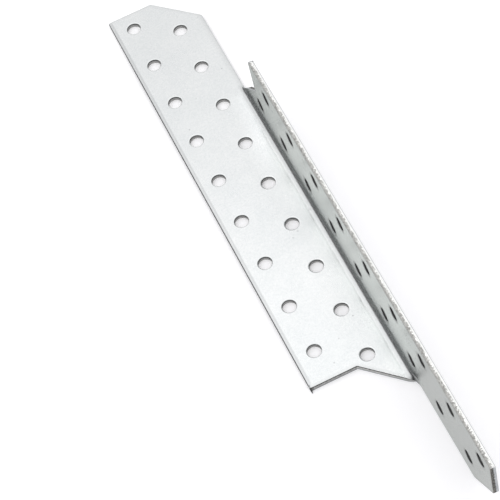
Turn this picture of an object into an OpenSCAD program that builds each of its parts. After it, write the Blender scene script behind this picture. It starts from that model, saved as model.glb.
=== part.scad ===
// Rafter purlin anchor: a perforated angle folded from one strip of galvanised steel.
// Both legs are the same shape, offset lengthwise, and each laps past the other's end.
// The purlin leg lies flat, its free edge towards -X and its outer end towards +Y.
// The rafter leg stands along +X, and its outer end is towards -Y.
// Origin: the middle of the overall length and width, at the underside. +Y runs lengthwise.

/* [Sheet] */
// Thickness of the steel sheet
sheet_t = 2; // [1.5:0.5:3]
// Inside radius of the fold
bend_r = 2.5; // [1.5:0.5:3.5]

/* [Legs] */
// Width of a leg where it runs past the other one's end
leg_w = 32.5; // [31:0.5:36]
// Outside width of each leg along the fold, a little more because the corner stretches
folded_w = 34.5; // [34.5:0.5:38]
// Length along which both free edges run side by side
shared_l = 110; // [90:10:130]
// Corner cut at 45 degrees on the fold side of each outer end
corner_cut = 15; // [10:0.5:17]

/* [Nail holes] */
// Diameter of a nail hole
hole_d = 5; // [4:0.5:6]
// Distance between the holes of one column
hole_pitch = 20; // [16:1:24]
// Number of holes in each column
hole_rows = 9; // [7:1:12]
// Distance from the free edge to the edge column, and from the outer end to its first hole
edge_gap = 7.5; // [6:0.5:8]
// Distance between the two columns of a leg
column_gap = 15; // [12:0.5:16]

/* [Hidden] */
$fn = 64;

// Each leg is as long as its columns of holes, so the outer end of one blank fits the
// inner end of the next and the strip is cut without waste.
leg_l = hole_rows * hole_pitch;
overall_l = 2 * leg_l - shared_l;
outer_end = overall_l / 2;
inner_end = shared_l / 2;

// The fold's outside radius, and half of its length at the slit
fold_r = bend_r + sheet_t;
half_fold_l = inner_end + corner_cut;

// Distances from the heel, the outside corner of the angle
slit_u = folded_w - leg_w;
square_u = slit_u + corner_cut;
edge_column_u = folded_w - edge_gap;
fold_column_u = edge_column_u - column_gap;

// Height of the cutter for the notch, and how far it runs past the blank
cut_h = 2 * fold_r;
cut_over = 1;

// One leg from above, with the heel along x = 0. The outer end is square on the free side
// and cut at 45 degrees on the fold side. The inner end is the same line moved by leg_l.
module leg_outline() {
    polygon([
        [-folded_w, outer_end],
        [-square_u, outer_end],
        [-slit_u, outer_end - corner_cut],
        [-slit_u, half_fold_l],
        [-fold_r, half_fold_l],
        [-fold_r, -half_fold_l + fold_r - slit_u],
        [-square_u, -inner_end],
        [-folded_w, -inner_end]
    ]);
}

// One column of nail holes, its first hole at y = first and the others towards -Y
module hole_column(u, first) {
    for (row = [0 : hole_rows - 1])
        translate([-u, first - row * hole_pitch, -sheet_t])
            cylinder(d = hole_d, h = 3 * sheet_t);
}

// The two columns stand half a pitch apart.
module nail_holes() {
    hole_column(edge_column_u, outer_end - edge_gap);
    hole_column(fold_column_u, outer_end - edge_gap - hole_pitch / 2);
}

// Half of the fold, 45 degrees of the bend, as long as the two legs share it
module half_fold() {
    translate([-fold_r, 0, fold_r])
        rotate([90, 0, 0])
            rotate(-90)
                rotate_extrude(angle = 45)
                    translate([bend_r, -half_fold_l])
                        square([sheet_t, 2 * half_fold_l]);
}

// What the inner end leaves free, carried on into the bend
module notch() {
    linear_extrude(cut_h)
        polygon([
            [-slit_u, -half_fold_l],
            [-square_u, -inner_end],
            [-square_u, -half_fold_l - cut_over],
            [-slit_u, -half_fold_l - cut_over]
        ]);
}

// One half of the anchor: a leg with its holes and its half of the bend
module half_anchor() {
    difference() {
        linear_extrude(sheet_t) leg_outline();
        nail_holes();
    }
    difference() {
        half_fold();
        notch();
    }
}

// The other half is the same one turned by 180 degrees about the angle's own bisector.
module anchor() {
    color("silver")
        translate([folded_w / 2, 0, 0]) {
            half_anchor();
            rotate(a = 180, v = [-1, 0, 1]) half_anchor();
        }
}

anchor();
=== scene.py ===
"""A rafter purlin anchor: a perforated angle folded from one strip of galvanised steel.

The sheet is drawn as a flat blank, with its sheared edges and punched holes, and then
wrapped round the bend. "across" runs over the blank from the purlin leg's free edge to the
rafter leg's, "along" is the frame's Y, and "height" is measured from the outer face.
"""
from dataclasses import dataclass

import bpy
import numpy as np
from mathutils import Matrix, Vector
from mathutils.geometry import delaunay_2d_cdt
from mathutils.kdtree import KDTree


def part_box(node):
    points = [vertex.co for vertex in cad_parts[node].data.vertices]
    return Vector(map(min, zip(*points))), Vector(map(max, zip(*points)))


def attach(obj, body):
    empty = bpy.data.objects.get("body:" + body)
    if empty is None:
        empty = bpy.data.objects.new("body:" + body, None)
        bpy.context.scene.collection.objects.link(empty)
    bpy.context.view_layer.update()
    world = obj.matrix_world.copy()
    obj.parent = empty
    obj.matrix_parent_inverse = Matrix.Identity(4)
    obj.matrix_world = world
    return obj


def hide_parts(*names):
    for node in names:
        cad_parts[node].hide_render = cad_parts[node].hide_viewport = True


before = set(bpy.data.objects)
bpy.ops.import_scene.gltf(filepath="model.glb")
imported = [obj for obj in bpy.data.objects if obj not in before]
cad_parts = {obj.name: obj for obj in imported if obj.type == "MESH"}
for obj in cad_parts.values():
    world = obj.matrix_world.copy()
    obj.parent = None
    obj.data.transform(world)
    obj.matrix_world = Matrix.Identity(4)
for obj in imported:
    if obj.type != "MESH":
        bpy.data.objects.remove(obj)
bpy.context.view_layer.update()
low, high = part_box("anchor")

MM = 0.001

# The blank, from the frame's box and the sheet's own sizes
SHEET_T = 2.0 * MM
BEND_R = 2.5 * MM
LEG_W = 32.5 * MM
CORNER_CUT = 15.0 * MM
FOLDED_W = high.x - low.x
OUTER_END = high.y
HOLE_PITCH = 20.0 * MM
HOLE_ROWS = 9
LEG_L = HOLE_ROWS * HOLE_PITCH
INNER_END = LEG_L - OUTER_END
HALF_FOLD_L = INNER_END + CORNER_CUT
BLANK_W = 2 * LEG_W

# Nail holes
HOLE_R = 2.5 * MM
EDGE_GAP = 7.5 * MM
COLUMN_GAP = 15.0 * MM

# The bend: where it starts and ends across the blank, and the line that keeps its length
FLAT_W = FOLDED_W - BEND_R - SHEET_T
BEND_ARC = BLANK_W - 2 * FLAT_W
NEUTRAL_H = BEND_R + SHEET_T - BEND_ARC / (np.pi / 2)

# The fold opens out into the flat leg over this length at each of its ends
FOLD_FADE = (HALF_FOLD_L - 0.5 * MM, HALF_FOLD_L + 2.0 * MM)

# Sheared edges: the face that the blade met rolls over, the cut is smooth down to a share of
# the thickness, and the rest leans back and breaks off rough. The break's rows are how far
# down it each one is, and how rough
ROLL_W = 0.80 * MM
ROLL_H = 0.34 * MM
HOLE_ROLL_W = 0.36 * MM
HOLE_ROLL_H = 0.24 * MM
SMOOTH_SHARE = 0.44
BREAK_LEAN = 0.10 * MM
BREAK_ROUGH = 0.02 * MM
BREAK_ROWS = ((0.02, 0.4), (0.25, 1.0), (0.5, 1.0), (0.75, 1.0), (0.97, 0.2))

# The rollover from the face down to the cut: shares of its width and height, and how much painted
# shade it has
EDGE_SLOPE = (
    (1.70, 0.00, 0.17),
    (1.44, 0.00, 0.31),
    (1.19, 0.00, 0.37),
    (0.94, 0.02, 0.30),
    (0.62, 0.12, 0.30),
    (0.42, 0.24, 0.35),
    (0.26, 0.40, 0.60),
    (0.13, 0.64, 1.00),
)
HOLE_SLOPE = (
    (1.00, 0.00, 0.0),
    (0.90, 0.03, 0.2),
    (0.62, 0.12, 0.5),
    (0.42, 0.24, 0.8),
    (0.26, 0.40, 1.0),
    (0.13, 0.64, 1.0),
)

# How far inside the cut the flat face starts
FACE_INSET = 1.60 * MM
HOLE_FACE_INSET = 0.55 * MM
FACE_R = HOLE_R + HOLE_FACE_INSET

# The least radius that a corner keeps when the outline moves inwards
LEAST_CORNER_R = 0.08 * MM

# The small burr at the near corner of the purlin leg: how far it sticks out, and its size
BURR_L = 2.6 * MM
BURR_R = 0.42 * MM

# Spacing of the mesh along the cut edges, over the faces and along the bend
EDGE_STEP = 0.40 * MM
HOLE_SIDES = 48
FACE_STEP = 3.0 * MM
BEND_ROWS = 16
BEND_STEP = 1.6 * MM
PRESSED_ROWS = np.array([0.7, 1.2, 1.8, 2.5, 3.3, 4.2, 5.5, 7.0, 9.0, 11.5]) * MM

# Face points beside the cut edges: a row at this distance, and rings round each hole, each
# with its distance and its number of points
EDGE_ROW = 0.9 * MM
HOLE_RINGS = ((0.9 * MM, 24), (2.4 * MM, 16))

# The least distance of new face points from earlier ones, and of all of them from a hole
BEND_CLEAR = 0.28 * MM
ROW_CLEAR = 0.7 * MM
RING_CLEAR = 0.6 * MM
GRID_CLEAR = 0.55 * FACE_STEP
HOLE_CLEAR = 0.4 * MM

# Passes that soften the change from one edge of the outline to the next
EDGE_PASSES = 6

# Faces that meet at more than this angle stay sharp
SHARP_ANGLE = np.radians(40)

# How far the rolled strip is from truly flat, and the line that the press tool left
WAVE_H = 0.035 * MM
TOOL_LINE = FLAT_W - 0.15 * MM
TOOL_LINE_D = 0.009 * MM
TOOL_LINE_W = 0.16 * MM

# Tones are factors on the metal's colour, and 1 leaves it as it is. The first ones are
# painted reflection and shade along the bend of the inner face, by how far across the blank it is
BEND_SHADE_TONES = (
    (22.0 * MM, 1.00),
    (25.0 * MM, 1.05),
    (27.2 * MM, 1.16),
    (28.6 * MM, 1.22),
    (29.6 * MM, 1.32),
    (30.1 * MM, 1.02),
    (30.7 * MM, 0.84),
    (31.3 * MM, 0.84),
    (31.9 * MM, 1.12),
    (32.4 * MM, 0.98),
    (33.1 * MM, 0.52),
    (33.7 * MM, 0.52),
    (34.4 * MM, 0.88),
    (35.2 * MM, 1.10),
    (36.5 * MM, 1.28),
    (38.5 * MM, 1.12),
    (40.5 * MM, 0.97),
    (44.0 * MM, 0.85),
)
BEND_SHADE_BLUR = np.array([-0.3, -0.15, 0.0, 0.15, 0.3]) * MM

# Places along the blank in millimetres, and values there. On the purlin leg beside the bend:
# how strong the painted bend shade is, and how much painted light makes the face paler
PURLIN_BEND_SHADE = ((10, 33, 44, 54, 62), (1.0, 1.0, 0.9, 0.55, 0.40))
PURLIN_LIFT = ((10, 33, 44, 54), (0.0, 0.07, 0.05, 0.0))

# Painted light and shade: how much paler the rafter leg is, and the tones of the purlin leg's free
# edge
RAFTER_LIFT = ((-110, -78, -64, -20, 30, 58), (-0.15, -0.11, 0.08, 0.05, -0.01, -0.12))
FREE_EDGE_TONES = ((-55, -28, 95, 125), (0.60, 0.08, 0.08, 1.3))

# Painted shade: the rafter leg's inner face is darker than the purlin leg's, and its holes darker
# inside
RAFTER_SHADE = 0.83
RAFTER_HOLE_SHADE = 0.55
# Painted light on the notch side's cut face
NOTCH_TONE = 1.3

# How much of the rim's painted shade the holes have
HOLE_RIM = 0.41

# Painted shade where the fold's near end runs out: its middle on the blank, its size and tone
FOLD_END_SHADE = (32.1 * MM, -69.5 * MM)
FOLD_END_SHADE_R = 2.3 * MM
FOLD_END_SHADE_TONE = 0.15

# Material slots of the piece
FACE_SLOT, SLIT_SLOT, DIE_SLOT, NOTCH_SLOT, HOLE_SLOT = range(5)

# The outline's edges, clockwise from the purlin leg's outer end: 1 where the inner face
# rolls over and 0 where the outer one does, how large the rollover is, how much of the
# rim's painted shade it has, and the cut's material slot
EDGES = np.array(
    [
        (1, 0.40, 0.40, DIE_SLOT),  # the purlin leg's outer end
        (1, 0.40, 0.40, DIE_SLOT),  # its corner cut
        (1, 0.40, 0.40, DIE_SLOT),  # its slit
        (1, 0.40, 0.40, DIE_SLOT),  # the rafter leg's side of the notch
        (1, 0.40, 0.40, DIE_SLOT),  # its inner end
        (0, 1.00, 0.60, SLIT_SLOT),  # its free edge
        (0, 0.40, 0.40, DIE_SLOT),  # its outer end
        (0, 0.40, 0.40, DIE_SLOT),  # its corner cut
        (0, 0.40, 0.40, DIE_SLOT),  # its slit
        (0, 0.25, 0.25, NOTCH_SLOT),  # the purlin leg's side of the notch
        (0, 0.25, 0.25, NOTCH_SLOT),  # its inner end
        (1, 1.00, 1.00, SLIT_SLOT),  # its free edge
    ]
)
NOTCH_SIDE = 9
PURLIN_FREE_EDGE = 11

# Columns of an edge's profile: how far in and how deep the ring is, how ragged, how much
# painted shade, how much of it is cut metal, and 1 where it grows with the rollover
INSET, DEPTH, ROUGHNESS, RIM, CUT, ROLLOVER = range(6)

rng = np.random.default_rng(7)


def smoothstep(start, end, value):
    """0 up to start, 1 from end on, smooth between them."""
    share = np.clip((value - start) / (end - start), 0, 1)
    return share * share * (3 - 2 * share)


def waves(across, along):
    """Slow waviness of the strip, from 0 to 1, the same on both faces. The fold presses it flat."""
    total = np.sin(across / (9.1 * MM) + 0.7) * np.sin(along / (17.0 * MM) + 1.9)
    total += np.sin(along / (11.3 * MM) - across / (14.0 * MM))
    total += 0.6 * np.sin(along / (6.1 * MM) + 2.4 * np.sin(across / (12.0 * MM)))
    free = smoothstep(BEND_ARC, BEND_ARC + 12 * MM, np.abs(across - BLANK_W / 2))
    return free * total / 5.2 + 0.5


def wrap_half(across, along, height):
    """The frame's X and Z for the half of the blank towards +Y."""
    share = 1 - smoothstep(*FOLD_FADE, along)
    run = np.clip(across - FLAT_W, 0, BEND_ARC)
    past = np.maximum(across - FLAT_W - BEND_ARC, 0)
    turn = share * run / BEND_ARC * np.pi / 2
    x = low.x + np.minimum(across, FLAT_W) + run * np.sinc(turn / np.pi) + past * np.cos(turn)
    z = NEUTRAL_H + run * np.sin(turn / 2) * np.sinc(turn / 2 / np.pi) + past * np.sin(turn)
    over = height - NEUTRAL_H
    return x - over * np.sin(turn), z + over * np.cos(turn)


def burr(across, along, height):
    """How far the burr sticks out at the purlin leg's near corner, low on the sheet."""
    away = np.hypot(across, along + INNER_END) / BURR_R
    return BURR_L * np.exp(-(away**2)) * (1 - smoothstep(0.3 * SHEET_T, 0.8 * SHEET_T, height))


def wrap(across, along, height):
    """Points of the blank in the frame. The two legs are the same, turned about the heel."""
    along = along - burr(across, along, height)
    height = height + WAVE_H * waves(across, along)
    turned = along < 0
    near = np.where(turned, BLANK_W - across, across)
    x, z = wrap_half(near, np.abs(along), height)
    x, z = np.where(turned, high.x - z, x), np.where(turned, high.x - x, z)
    return np.column_stack([x, along, z])


def blank_corners():
    """The blank's corners, clockwise: across, along, corner radius."""
    half = [
        (0.0, OUTER_END, 0.7 * MM),
        (LEG_W - CORNER_CUT, OUTER_END, 1.2 * MM),
        (LEG_W, OUTER_END - CORNER_CUT, 1.2 * MM),
        (LEG_W, HALF_FOLD_L, 2.5 * MM),
        (LEG_W + CORNER_CUT, INNER_END, 0.5 * MM),
        (BLANK_W, INNER_END, 0.7 * MM),
    ]
    return half + [(BLANK_W - across, -along, radius) for across, along, radius in half]


def edge_tones(owners, across, along):
    """The painted shade and light on the cut face at each point of the outline, dark at the corner
    with the burr.
    """
    tones = np.where(owners == PURLIN_FREE_EDGE, np.interp(along / MM, *FREE_EDGE_TONES), 1.0)
    tones = np.where(owners == NOTCH_SIDE, NOTCH_TONE, tones)
    away = np.hypot(across, along + INNER_END)
    return tones * smoothstep(-0.5 * MM, 2.0 * MM, away)


def right_of(way):
    """The direction to the right of a way on the blank, which is inwards on a clockwise loop."""
    return np.array([way[1], -way[0]])


def rounded_corner(corner, before, after, inset):
    """A corner of the outline moved inwards: where its arc starts and ends, and points between."""
    into, out = right_of(before), right_of(after)
    convex = before @ out < 0
    radius = max(corner[2] - inset, LEAST_CORNER_R) if convex else corner[2] + inset
    turn = np.arccos(np.clip(before @ after, -1, 1))
    at = np.array(corner[:2]) + inset * (into + out) / (1 + into @ out)
    tangent = radius * np.tan(turn / 2)
    side = into if convex else -into
    start = at - before * tangent
    centre = start + side * radius
    steps = max(4, int(np.ceil(corner[2] * turn / EDGE_STEP)))
    angles = turn * np.arange(1, steps) / steps
    arc = [centre + radius * (before * np.sin(a) - side * np.cos(a)) for a in angles]
    return start, at + after * tangent, arc


def outline_ring(inset):
    """The blank's outline moved inwards, with round corners: its points, and which edge each is on."""
    corners = blank_corners()
    count = len(corners)
    places = [np.array(corner[:2]) for corner in corners]
    runs = [places[(i + 1) % count] - places[i] for i in range(count)]
    lengths = [np.linalg.norm(run) for run in runs]
    ways = [run / length for run, length in zip(runs, lengths)]
    rounded = [rounded_corner(corners[i], ways[i - 1], ways[i], inset) for i in range(count)]
    points, owners = [], []
    for i in range(count):
        start = rounded[i][1]
        end, _, arc = rounded[(i + 1) % count]
        steps = int(np.ceil(lengths[i] / EDGE_STEP))
        points += [start + (end - start) * step / steps for step in range(steps + 1)]
        points += arc
        owners += [i] * (steps + 1 + len(arc))
    return np.array(points), np.array(owners)


def hole_centres():
    """Centres of the nail holes on the blank, both legs."""
    centres = []
    for column, first in ((EDGE_GAP, EDGE_GAP), (EDGE_GAP + COLUMN_GAP, EDGE_GAP + HOLE_PITCH / 2)):
        for row in range(HOLE_ROWS):
            along = OUTER_END - first - row * HOLE_PITCH
            centres.append(np.array([column, along]))
            centres.append(np.array([BLANK_W - column, -along]))
    return centres


def smooth_loop(values):
    """A closed row of values, averaged with their neighbours."""
    for _ in range(EDGE_PASSES):
        values = (np.roll(values, 1) + 2 * values + np.roll(values, -1)) / 4
    return values


def edge_profile(roll_w, roll_h, face_inset, slope):
    """Rings from the rolled face over the smooth band and the break to the other face."""
    rings = [(face_inset, 0.0, 0.0, 0.0, 0.0, 0.0)]
    for inset, depth, rim in slope:
        rings.append((inset * roll_w, depth * roll_h, 0.0, rim, depth / 2, 1.0))
    rings.append((0.0, roll_h, 0.0, 1.0, 0.5, 1.0))
    rings.append((0.0, roll_h + 0.06 * MM, 0.0, 0.0, 1.0, 1.0))
    rings.append((0.0, (SMOOTH_SHARE - 0.05) * SHEET_T, 0.0, 0.0, 1.0, 0.0))
    for share, roughness in BREAK_ROWS:
        inset = BREAK_LEAN * (0.2 + 0.8 * share)
        depth = SMOOTH_SHARE + (1 - SMOOTH_SHARE) * share
        rings.append((inset, SHEET_T * depth, roughness, 0.0, 1.0, 0.0))
    rings.append((BREAK_LEAN + 0.06 * MM, SHEET_T, 0.0, 0.0, 0.8, 0.0))
    rings.append((BREAK_LEAN + 0.16 * MM, SHEET_T, 0.0, 0.8, 0.0, 0.0))
    rings.append((face_inset, SHEET_T, 0.0, 0.0, 0.0, 0.0))
    return np.array(rings)


class BlankMesh:
    """Collects the blank's vertices and faces, with what its materials read from each vertex."""

    def __init__(self):
        self.rows = []
        self.faces = []
        self.slots = []
        self.total = 0

    def add(self, points, height, depth, rim, tone):
        """Add vertices and return their numbers."""
        columns = [np.broadcast_to(value, len(points)) for value in (height, depth, rim, tone)]
        self.rows.append(np.column_stack([points, *columns]))
        self.total += len(points)
        return np.arange(self.total - len(points), self.total)

    def strip(self, upper, lower, slots):
        """Join two closed rings of the same count with quads."""
        quads = np.column_stack([upper, np.roll(upper, -1), np.roll(lower, -1), lower])
        self.faces += quads.tolist()
        self.slots += slots.tolist()

    def fill(self, numbers, triangles, facing_in):
        """Add triangles between vertices that are already there."""
        for triangle in triangles:
            corners = [int(numbers[i]) for i in triangle]
            self.faces.append(corners if facing_in else corners[::-1])
            self.slots.append(FACE_SLOT)


@dataclass
class CutLook:
    """How a closed cut edge looks, with one value in each array for each of its points."""

    profile: np.ndarray
    # 1 where the inner face rolls over and 0 where the outer one does
    inside: np.ndarray
    # How large the rollover is, and how much of the rim's painted shade it has
    roll: np.ndarray
    rim: np.ndarray
    # The cut metal's material slot and its tone of painted shade and light, and the share of cut metal
    # that they start at
    slot: np.ndarray
    slot_from: float
    tone: np.ndarray
    tone_from: float


def outline_look(points, owners):
    """How the blank's outline is cut."""
    inside, roll, rim, slot = EDGES[owners].T
    return CutLook(
        profile=edge_profile(ROLL_W, ROLL_H, FACE_INSET, EDGE_SLOPE),
        inside=smooth_loop(inside),
        roll=smooth_loop(roll),
        rim=smooth_loop(rim),
        slot=slot.astype(int),
        slot_from=0.5,
        tone=edge_tones(owners, *points.T),
        tone_from=0.7,
    )


def hole_look(away, on_rafter):
    """How a nail hole is cut. The rafter leg's holes have painted shade right up to the face."""
    return CutLook(
        profile=edge_profile(HOLE_ROLL_W, HOLE_ROLL_H, HOLE_FACE_INSET, HOLE_SLOPE),
        inside=np.ones(HOLE_SIDES),
        roll=np.ones(HOLE_SIDES),
        # Painted shade on the rim, mostly on the hole's +Y side
        rim=HOLE_RIM * smoothstep(-0.8, 0.4, away[:, 1]),
        slot=np.full(HOLE_SIDES, HOLE_SLOT),
        slot_from=0.3,
        tone=np.full(HOLE_SIDES, RAFTER_HOLE_SHADE if on_rafter else 1.0),
        tone_from=-1.0 if on_rafter else 0.7,
    )


def cut_loop(mesh, base, inward, look):
    """One cut edge, with its rings from the inner face to the outer. Returns the two face rings."""
    inside = look.inside[:, None]
    rings, cuts = [], []
    for here, there in zip(look.profile, look.profile[::-1]):
        down = np.tile(here, (len(base), 1))
        up = np.tile(there, (len(base), 1))
        for side in (down, up):
            side[:, INSET] += side[:, ROUGHNESS] * np.abs(rng.normal(0, BREAK_ROUGH, len(base)))
            size = 1 - side[:, ROLLOVER] * (1 - look.roll)
            side[:, INSET] *= size
            side[:, DEPTH] *= size
        height = look.inside * (SHEET_T - down[:, DEPTH]) + (1 - look.inside) * up[:, DEPTH]
        ring = inside * down + (1 - inside) * up
        points = base + inward * ring[:, INSET, None]
        # Painted shade and light: the inner face's tone beside the cut, and the cut's own tone
        face_tone = np.where(height > SHEET_T / 2, inner_tone(*points.T), 1)
        tone = np.where(ring[:, CUT] > look.tone_from, look.tone, face_tone)
        rings.append(mesh.add(points, height, ring[:, DEPTH] / SHEET_T, ring[:, RIM] * look.rim, tone))
        cuts.append(ring[:, CUT])
    for i in range(len(rings) - 1):
        sheared = (cuts[i] + cuts[i + 1]) / 2 > look.slot_from
        mesh.strip(rings[i], rings[i + 1], np.where(sheared, look.slot, FACE_SLOT))
    return rings[0], rings[-1]


def inside_outline(points, outline):
    """True for each point inside the closed outline."""
    inside = np.zeros(len(points), bool)
    following = np.roll(outline, -1, axis=0)
    for (x0, y0), (x1, y1) in zip(outline, following):
        crosses = (y0 > points[:, 1]) != (y1 > points[:, 1])
        if crosses.any():
            reach = x0 + (points[crosses, 1] - y0) * (x1 - x0) / (y1 - y0)
            inside[crosses] ^= points[crosses, 0] < reach
    return inside


def clear_of(points, taken, clearance):
    """The points that stay at least clearance away from all that are taken."""
    tree = KDTree(len(taken))
    for i, point in enumerate(taken):
        tree.insert((point[0], point[1], 0), i)
    tree.balance()
    kept = [point for point in points if tree.find((point[0], point[1], 0))[2] >= clearance]
    return np.array(kept).reshape(-1, 2)


def grid(across_values, along_values):
    """Every pair of the two lists as points."""
    across, along = np.meshgrid(across_values, along_values)
    return np.column_stack([across.ravel(), along.ravel()])


def circle(centre, radius, sides):
    """Points round a circle, anticlockwise."""
    angles = 2 * np.pi * np.arange(sides) / sides
    return centre + radius * np.column_stack([np.cos(angles), np.sin(angles)])


def bend_points():
    """Points in rows along the bend, and beside it down to where the press tool reached."""
    rows = FLAT_W + BEND_ARC * np.arange(1, BEND_ROWS) / BEND_ROWS
    beside = np.concatenate([np.array([-1.6, -0.8, 0.0, 0.8, 1.6]) * TOOL_LINE_W, -PRESSED_ROWS])
    rows = np.concatenate([rows, TOOL_LINE + beside, BLANK_W - TOOL_LINE - beside])
    over = HALF_FOLD_L + 5 * MM
    return grid(rows, np.linspace(-over, over, int(2 * over / BEND_STEP)))


def face_points(outline, taken):
    """Points inside a face, in stages. Each stage keeps its own distance from earlier points."""
    stages = [(bend_points(), BEND_CLEAR)]
    stages.append((outline_ring(FACE_INSET + EDGE_ROW)[0][::3], ROW_CLEAR))
    for out, sides in HOLE_RINGS:
        rings = [circle(centre, FACE_R + out, sides) for centre in hole_centres()]
        stages.append((np.concatenate(rings), RING_CLEAR))
    across = np.arange(FACE_STEP / 2, BLANK_W, FACE_STEP)
    along = np.arange(-OUTER_END, OUTER_END, FACE_STEP)
    stages.append((grid(across, along), GRID_CLEAR))
    found = []
    for points, clearance in stages:
        points = points[inside_outline(points, outline)]
        for centre in hole_centres():
            points = points[np.linalg.norm(points - centre, axis=1) > FACE_R + HOLE_CLEAR]
        points = clear_of(points, np.concatenate([taken, *found]), clearance)
        found.append(points)
    return np.concatenate(found)


def tool_line(across, along):
    """Depth of the faint broken line that the press tool left on the inner face."""
    side = np.minimum(across, BLANK_W - across)
    line = np.exp(-(((side - TOOL_LINE) / TOOL_LINE_W) ** 2))
    dashes = smoothstep(-0.4, 0.5, np.sin(along / (1.9 * MM)) + np.sin(along / (5.3 * MM) + 1.0))
    ends = 1 - smoothstep(HALF_FOLD_L - 8 * MM, HALF_FOLD_L - 2 * MM, np.abs(along))
    return TOOL_LINE_D * line * (0.25 + 0.75 * dashes) * ends


def bend_shade_tone(across):
    """The painted reflection and shade along the bend, softened over a short way across."""
    places, tones = zip(*BEND_SHADE_TONES)
    return sum(np.interp(across + shift, places, tones) for shift in BEND_SHADE_BLUR) / len(BEND_SHADE_BLUR)


def inner_tone(across, along):
    """The painted shade and light on the inner face at each point."""
    # Painted shade: the rafter leg darker than the purlin leg, across the bend
    plain = np.interp(across, (FLAT_W, FLAT_W + BEND_ARC), (1, RAFTER_SHADE))
    # Painted reflection and shade along the bend, fading out along the purlin leg and towards the
    # fold's ends
    bend_shade_share = np.where(across < FLAT_W, np.interp(along / MM, *PURLIN_BEND_SHADE), 1)
    bend_shade_share = bend_shade_share * (1 - smoothstep(HALF_FOLD_L - 4 * MM, HALF_FOLD_L, np.abs(along)))
    tone = plain + (bend_shade_tone(across) - plain) * bend_shade_share
    # Painted light on the purlin leg beside the bend
    beside = smoothstep(FLAT_W - 10 * MM, FLAT_W - 5 * MM, across)
    beside = beside * (1 - smoothstep(FLAT_W, FLAT_W + 0.2 * BEND_ARC, across))
    tone = tone * (1 + beside * np.interp(along / MM, *PURLIN_LIFT))
    # Painted light and shade along the rafter leg
    on_rafter = smoothstep(FLAT_W + 0.4 * BEND_ARC, FLAT_W + BEND_ARC, across)
    tone = tone * (1 + on_rafter * np.interp(along / MM, *RAFTER_LIFT))
    # Painted shade where the fold's near end runs out
    away = np.hypot(across - FOLD_END_SHADE[0], along - FOLD_END_SHADE[1]) / FOLD_END_SHADE_R
    fold_end_shade = np.exp(-(away**2))
    return tone * (1 - fold_end_shade) + FOLD_END_SHADE_TONE * fold_end_shade


def blank_mesh():
    """The whole anchor as one closed mesh."""
    mesh = BlankMesh()
    outer, owners = outline_ring(0.0)
    inner = outline_ring(FACE_INSET)[0]
    rings = cut_loop(mesh, outer, (inner - outer) / FACE_INSET, outline_look(outer, owners))
    loops = [(rings, inner)]
    for centre in hole_centres():
        wall = circle(centre, HOLE_R, HOLE_SIDES)
        away = (wall - centre) / HOLE_R
        rings = cut_loop(mesh, wall, away, hole_look(away, centre[0] > BLANK_W / 2))
        loops.append((rings, wall + away * HOLE_FACE_INSET))
    border = np.concatenate([points for _, points in loops])
    extra = face_points(inner, border)
    triangles = triangulate([points for _, points in loops], extra)
    for side, (height, facing_in) in enumerate(((SHEET_T, True), (0.0, False))):
        dent = tool_line(extra[:, 0], extra[:, 1]) if facing_in else 0
        # Painted shade and light on the inner face
        tone = inner_tone(*extra.T) if facing_in else 1.0
        own = mesh.add(extra, height - dent, 0.0, 0.0, tone)
        numbers = np.concatenate([rings[side] for rings, _ in loops] + [own])
        mesh.fill(numbers, triangles, facing_in)
    return mesh


def triangulate(rings, extra):
    """Triangles of the face between the rings, as numbers into the rings' and the extra points.

    A triangle with its middle inside the sides of a hole's ring would close the hole.
    """
    edges, first = [], 0
    for ring in rings:
        numbers = np.arange(first, first + len(ring))
        edges += np.column_stack([numbers, np.roll(numbers, -1)]).tolist()
        first += len(ring)
    points = np.concatenate([*rings, extra]) / MM
    inside_only, nearness = 1, 1e-7
    made = delaunay_2d_cdt([Vector(p) for p in points.tolist()], edges, [], inside_only, nearness)
    vertices, faces, sources = made[0], made[2], made[3]
    source = [own[0] for own in sources]
    middles = np.array([sum((vertices[i] for i in face), Vector((0, 0))) / 3 for face in faces]) * MM
    solid = np.ones(len(faces), bool)
    for centre in hole_centres():
        solid &= np.linalg.norm(middles - centre, axis=1) > FACE_R * np.cos(np.pi / HOLE_SIDES)
    return [[source[i] for i in face] for face, kept in zip(faces, solid) if kept]


def sheet_object(mesh):
    """The mesh as a Blender object, with the blank's own coordinates as its UV map."""
    rows = np.concatenate(mesh.rows)
    points = wrap(rows[:, 0], rows[:, 1], rows[:, 2])
    data = bpy.data.meshes.new("anchor_sheet")
    data.from_pydata(points.tolist(), [], mesh.faces)
    data.polygons.foreach_set("material_index", mesh.slots)
    # The rim and tone attributes carry painted shade and light
    for name, column in (("depth", 3), ("rim", 4), ("tone", 5)):
        attribute = data.attributes.new(name, "FLOAT", "POINT")
        attribute.data.foreach_set("value", rows[:, column].astype(np.float32))
    corner_vertices = np.zeros(len(data.loops), np.int32)
    data.loops.foreach_get("vertex_index", corner_vertices)
    uv = data.uv_layers.new(name="blank")
    uv.data.foreach_set("uv", rows[corner_vertices, :2].astype(np.float32).ravel())
    data.shade_smooth()
    data.set_sharp_from_angle(angle=SHARP_ANGLE)
    data.validate()
    piece = bpy.data.objects.new("anchor_sheet", data)
    bpy.context.scene.collection.objects.link(piece)
    return piece


def add_node(tree, kind, settings=(), **values):
    """A shader node with its settings and its input values. Underscores stand for spaces."""
    made = tree.nodes.new("ShaderNode" + kind)
    for name, value in dict(settings).items():
        setattr(made, name, value)
    for name, value in values.items():
        made.inputs[name.replace("_", " ")].default_value = value
    return made


def noise(tree, coordinates, scale, detail, roughness=0.5):
    """A noise texture's value, with its scale in cycles a metre."""
    made = add_node(tree, "TexNoise", Scale=scale, Detail=detail, Roughness=roughness)
    tree.links.new(coordinates, made.inputs["Vector"])
    return made.outputs["Fac"]


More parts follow.
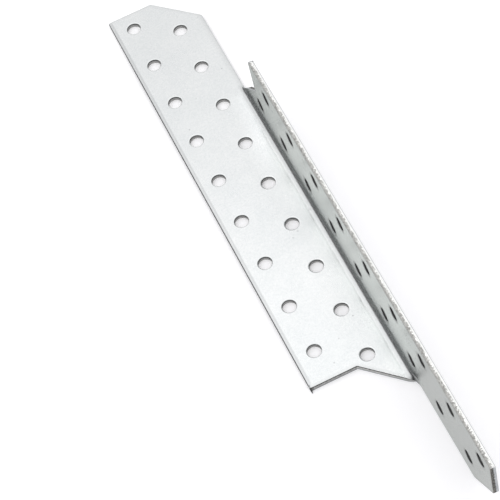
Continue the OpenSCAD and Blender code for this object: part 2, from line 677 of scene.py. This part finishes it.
def remap(tree, value, low_in, high_in, low_out, high_out):
    """A value moved from one range to another, and kept inside it."""
    made = add_node(tree, "MapRange")
    for name, number in (("From Min", low_in), ("From Max", high_in)):
        made.inputs[name].default_value = number
    for name, number in (("To Min", low_out), ("To Max", high_out)):
        made.inputs[name].default_value = number
    tree.links.new(value, made.inputs["Value"])
    return made.outputs["Result"]


def combine(tree, operation, first, second):
    """Two values put together. The second may be a plain number."""
    made = add_node(tree, "Math", {"operation": operation})
    tree.links.new(first, made.inputs[0])
    if isinstance(second, float):
        made.inputs[1].default_value = second
    else:
        tree.links.new(second, made.inputs[1])
    return made.outputs["Value"]


def mix_colour(tree, share, first, second):
    """Two colours mixed by a share. Each is a plain colour or another node's output."""
    made = add_node(tree, "Mix", {"data_type": "RGBA"})
    tree.links.new(share, made.inputs["Factor"])
    for socket, colour in ((made.inputs[6], first), (made.inputs[7], second)):
        if isinstance(colour, tuple):
            socket.default_value = (*colour, 1)
        else:
            tree.links.new(colour, socket)
    return made.outputs[2]


def scaled(tree, colour, tone):
    """A colour made darker or paler by a tone."""
    made = add_node(tree, "VectorMath", {"operation": "SCALE"})
    tree.links.new(colour, made.inputs[0])
    tree.links.new(tone, made.inputs["Scale"])
    return made.outputs["Vector"]


def attribute(tree, name):
    """A share kept on the mesh's vertices."""
    return add_node(tree, "Attribute", {"attribute_name": name}).outputs["Fac"]


def bump(tree, height, distance, strength):
    """A bump of the given depth in metres."""
    made = add_node(tree, "Bump", Strength=strength, Distance=distance)
    tree.links.new(height, made.inputs["Height"])
    return made.outputs["Normal"]


def new_material(name, metallic):
    """A material with one Principled shader: the material, its node tree and the shader."""
    material = bpy.data.materials.new(name)
    material.use_nodes = True
    tree = material.node_tree
    shader = tree.nodes["Principled BSDF"]
    shader.inputs["Metallic"].default_value = metallic
    return material, tree, shader


# The zinc face: how metallic, its roughness between clouds and on them, its tint at a low
# angle, the darkest and palest colours of its grain, and the painted shade of a rim
FACE_METAL = 0.95
FACE_ROUGH = (0.275, 0.265)
FACE_GLANCE = (0.76, 0.775, 0.745)
FACE_DARK = (0.64, 0.665, 0.675)
FACE_PALE = (0.79, 0.795, 0.795)
RIM_SHADE = 0.42

# Its dark specks: cells a metre, the share of cells with one, its size in cells, its colour
SPECKS = (
    (170.0, 0.10, 0.06, (0.30, 0.31, 0.32)),
    (520.0, 0.13, 0.22, (0.55, 0.56, 0.57)),
)

# How far the smooth band's border wanders, as a share of the sheet's thickness
TEETH_H = 0.06

# Painted glints: sparkles in the rough part of a cut
SPARKLE = (0.93, 0.93, 0.92)


def add_specks(tree, place, colour, scale, share, size, dark):
    """A colour with dark specks in some of the cells of a scale."""
    cells = add_node(tree, "TexVoronoi", Scale=scale)
    tree.links.new(place, cells.inputs["Vector"])
    few = remap(tree, cells.outputs["Color"], 1 - share, 1.01 - share, 0, 1)
    speck = remap(tree, cells.outputs["Distance"], size / 2, size, 1, 0)
    return mix_colour(tree, combine(tree, "MULTIPLY", few, speck), colour, dark)


def galvanised_face():
    """Rolled zinc: pale silver with soft clouds, a fine grain and small dark specks."""
    material, tree, shader = new_material("galvanised_face", FACE_METAL)
    place = add_node(tree, "TexCoord").outputs["Object"]
    sheet_tone = noise(tree, place, 30, 2)
    clouds = noise(tree, place, 150, 4, 0.6)
    grain = noise(tree, place, 1300, 3, 0.7)
    pale = remap(tree, clouds, 0.3, 0.7, 0, 0.16)
    pale = combine(tree, "ADD", pale, remap(tree, grain, 0.25, 0.75, 0, 0.55))
    pale = combine(tree, "ADD", pale, remap(tree, sheet_tone, 0.35, 0.65, 0.05, 0.25))
    colour = mix_colour(tree, pale, FACE_DARK, FACE_PALE)
    for speck in SPECKS:
        colour = add_specks(tree, place, colour, *speck)
    # Painted shade on the rollover rims, times the painted shade and light kept on the mesh
    tone = remap(tree, attribute(tree, "rim"), 0, 1, 1, RIM_SHADE)
    tone = combine(tree, "MULTIPLY", tone, attribute(tree, "tone"))
    tree.links.new(scaled(tree, colour, tone), shader.inputs["Base Color"])
    shader.inputs["Specular Tint"].default_value = (*FACE_GLANCE, 1)
    tree.links.new(remap(tree, clouds, 0.3, 0.7, *FACE_ROUGH), shader.inputs["Roughness"])
    tree.links.new(bump(tree, grain, 0.01 * MM, 0.3), shader.inputs["Normal"])
    return material


def cut_steel(name, smooth, rough, sparkle_share, glance, shade):
    """Cut steel: a smooth band, and beyond an uneven line a rough break with some painted glints.

    The shade is painted shade down the cut, painted light where its tone is above 1: where it starts
    and ends, as shares, and its tone at the start.
    """
    material, tree, shader = new_material(name, 1.0)
    place = add_node(tree, "TexCoord").outputs["Object"]
    grain = noise(tree, place, 1900, 3, 0.7)
    patches = noise(tree, place, 700, 2)
    teeth = noise(tree, place, 3300, 1)
    smooth_tone = mix_colour(tree, remap(tree, patches, 0.3, 0.7, 0, 1), *smooth)
    rough_tone = mix_colour(tree, remap(tree, grain, 0.35, 0.65, 0, 1), *rough)
    down = attribute(tree, "depth")
    line = combine(tree, "ADD", down, remap(tree, teeth, 0.3, 0.7, -TEETH_H, TEETH_H))
    # Painted glints near the border of the smooth band
    cells = add_node(tree, "TexVoronoi", Scale=2500.0)
    tree.links.new(place, cells.inputs["Vector"])
    sparkle = remap(tree, cells.outputs["Color"], 1 - sparkle_share, 1.02 - sparkle_share, 0, 1)
    near_line = remap(tree, line, SMOOTH_SHARE + 0.32, SMOOTH_SHARE + 0.12, 0, 1)
    sparkle = combine(tree, "MULTIPLY", sparkle, near_line)
    rough_tone = mix_colour(tree, sparkle, rough_tone, SPARKLE)
    share = remap(tree, line, SMOOTH_SHARE - 0.01, SMOOTH_SHARE + 0.01, 0, 1)
    colour = mix_colour(tree, share, smooth_tone, rough_tone)
    # Painted shade and light: the tone kept on the mesh, times the shade down the cut
    tone = combine(tree, "MULTIPLY", attribute(tree, "tone"), remap(tree, down, *shade, 1))
    tree.links.new(scaled(tree, colour, tone), shader.inputs["Base Color"])
    tree.links.new(remap(tree, share, 0, 1, 0.36, 0.60), shader.inputs["Roughness"])
    tree.links.new(bump(tree, grain, 0.05 * MM, 0.5), shader.inputs["Normal"])
    shader.inputs["Specular Tint"].default_value = (glance, glance, glance, 1)
    return material


def slit_edge():
    """The strip's long edges, with painted light: brighter than the other cuts."""
    smooth = ((0.68, 0.69, 0.68), (0.78, 0.78, 0.77))
    rough = ((0.24, 0.24, 0.23), (0.58, 0.575, 0.56))
    return cut_steel(
        "slit_edge", smooth, rough, sparkle_share=0.45, glance=0.15, shade=(0.99, 0.90, 0.85)
    )


def die_cut_edge():
    """The outer ends, corner cuts and slits, with painted shade: darker than the long edges."""
    smooth = ((0.40, 0.42, 0.43), (0.52, 0.54, 0.55))
    rough = ((0.06, 0.06, 0.055), (0.24, 0.235, 0.22))
    return cut_steel(
        "die_cut_edge", smooth, rough, sparkle_share=0.06, glance=0.6, shade=(1.0, 0.80, 1.7)
    )


def notch_edge():
    """The purlin leg's inner end and its side of the notch, grey all the way down, with painted shade
    dark at the top.
    """
    smooth = ((0.28, 0.29, 0.29), (0.35, 0.36, 0.36))
    rough = ((0.26, 0.26, 0.255), (0.54, 0.535, 0.52))
    return cut_steel(
        "notch_edge", smooth, rough, sparkle_share=0.03, glance=0.6, shade=(0.88, 0.70, 0.08)
    )


def hole_wall():
    """The punched walls of the nail holes, with painted shade: dark under the rim and paler further
    down.
    """
    smooth = ((0.26, 0.26, 0.26), (0.36, 0.36, 0.355))
    rough = ((0.34, 0.34, 0.335), (0.54, 0.54, 0.53))
    return cut_steel(
        "hole_wall", smooth, rough, sparkle_share=0.02, glance=0.6, shade=(0.15, 0.50, 0.18)
    )


# The photograph's camera: what it looks at, from where, and its lens for this sensor's width
AIM = Vector((-11.97, 5.62, 1.0)) * MM
AZIMUTH = np.radians(-10.46)
ELEVATION = np.radians(56.01)
ROLL = np.radians(-16.58)
DISTANCE = 734.0 * MM
LENS = 152.32
SENSOR_W = 36.0


def add_camera():
    """The camera at the photograph's place, turned about its own axis as the photograph is."""
    data = bpy.data.cameras.new("camera")
    data.lens = LENS
    data.sensor_width = SENSOR_W
    camera = bpy.data.objects.new("camera", data)
    level = np.cos(ELEVATION)
    back = Vector((np.sin(AZIMUTH) * level, -np.cos(AZIMUTH) * level, np.sin(ELEVATION)))
    turn = back.to_track_quat("Z", "Y").to_matrix() @ Matrix.Rotation(ROLL, 3, "Z")
    camera.matrix_world = Matrix.Translation(AIM + back * DISTANCE) @ turn.to_4x4()
    bpy.context.scene.collection.objects.link(camera)
    bpy.context.scene.camera = camera


def seen_directly(tree):
    """1 for rays that come straight from the camera, or by a mirror or glass."""
    path = add_node(tree, "LightPath")
    seen = combine(tree, "ADD", path.outputs["Is Camera Ray"], path.outputs["Is Glossy Ray"])
    seen = combine(tree, "ADD", seen, path.outputs["Is Transmission Ray"])
    return combine(tree, "MINIMUM", seen, 1.0)


# Light: the room's own level on the object, and two lights overhead, each as its place's X
# and Y, its size in X and Y, and its power
ROOM_LEVEL = 0.75
CEILING_Z = 0.9
WIDE_LIGHT = (0.0, -0.14, 1.6, 1.6, 3.3)
SIDE_LIGHT = (-0.28, 0.06, 0.56, 1.3, 1.8)

# The floor, with how much it is lifted to white where it is seen, and the dark card
FLOOR_W = 12.0
FLOOR_COLOUR = (0.86, 0.855, 0.875)
FLOOR_LIFT = 0.24
CARD_X = -0.6
CARD_Y = (-0.3, 3.0)
CARD_Z = (0.0, 0.36)
CARD_TONE = 0.10


def add_world():
    """A white room that lights the object softly."""
    world = bpy.data.worlds.new("world")
    bpy.context.scene.world = world
    world.use_nodes = True
    tree = world.node_tree
    background = tree.nodes["Background"]
    background.inputs["Color"].default_value = (1, 1, 1, 1)
    level = remap(tree, seen_directly(tree), 0, 1, ROOM_LEVEL, 1)
    tree.links.new(level, background.inputs["Strength"])


def floor_material():
    """A plain pale floor, lifted to white where it is seen, with the object's shadow kept."""
    material, tree, shader = new_material("floor", 0.0)
    shader.inputs["Base Color"].default_value = (*FLOOR_COLOUR, 1)
    shader.inputs["Roughness"].default_value = 1
    shader.inputs["Specular IOR Level"].default_value = 0
    shader.inputs["Emission Color"].default_value = (1, 1, 1, 1)
    lift = combine(tree, "MULTIPLY", seen_directly(tree), FLOOR_LIFT)
    tree.links.new(lift, shader.inputs["Emission Strength"])
    return material


def add_floor():
    """The floor, just under the object."""
    half = FLOOR_W / 2
    under = low.z - 0.02 * MM
    data = bpy.data.meshes.new("floor")
    corners = [(-half, -half, under), (half, -half, under), (half, half, under), (-half, half, under)]
    data.from_pydata(corners, [], [(0, 1, 2, 3)])
    data.materials.append(floor_material())
    floor = bpy.data.objects.new("floor", data)
    bpy.context.scene.collection.objects.link(floor)


def add_ceiling_light(name, x, y, width, depth, power):
    """A large soft light overhead."""
    data = bpy.data.lights.new(name, "AREA")
    data.shape = "RECTANGLE"
    data.size = width
    data.size_y = depth
    data.energy = power
    light = bpy.data.objects.new(name, data)
    light.location = (x, y, CEILING_Z)
    bpy.context.scene.collection.objects.link(light)


def add_dark_card():
    """A dark card standing to the left, which only the metal's reflections show."""
    data = bpy.data.meshes.new("dark_card")
    near, far = CARD_Y
    foot, top = CARD_Z
    corners = [(CARD_X, near, foot), (CARD_X, far, foot), (CARD_X, far, top), (CARD_X, near, top)]
    data.from_pydata(corners, [], [(0, 1, 2, 3)])
    material, _, shader = new_material("dark_card", 0.0)
    shader.inputs["Base Color"].default_value = (CARD_TONE, CARD_TONE, CARD_TONE, 1)
    shader.inputs["Roughness"].default_value = 1
    shader.inputs["Specular IOR Level"].default_value = 0
    data.materials.append(material)
    card = bpy.data.objects.new("dark_card", data)
    card.visible_camera = False
    card.visible_diffuse = False
    card.visible_shadow = False
    bpy.context.scene.collection.objects.link(card)


add_camera()
add_world()
add_floor()
add_ceiling_light("wide_light", *WIDE_LIGHT)
add_ceiling_light("side_light", *SIDE_LIGHT)
add_dark_card()

anchor = sheet_object(blank_mesh())
for material in (galvanised_face(), slit_edge(), die_cut_edge(), notch_edge(), hole_wall()):
    anchor.data.materials.append(material)
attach(anchor, "root")
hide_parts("anchor")

bpy.context.scene.view_settings.view_transform = "Standard"
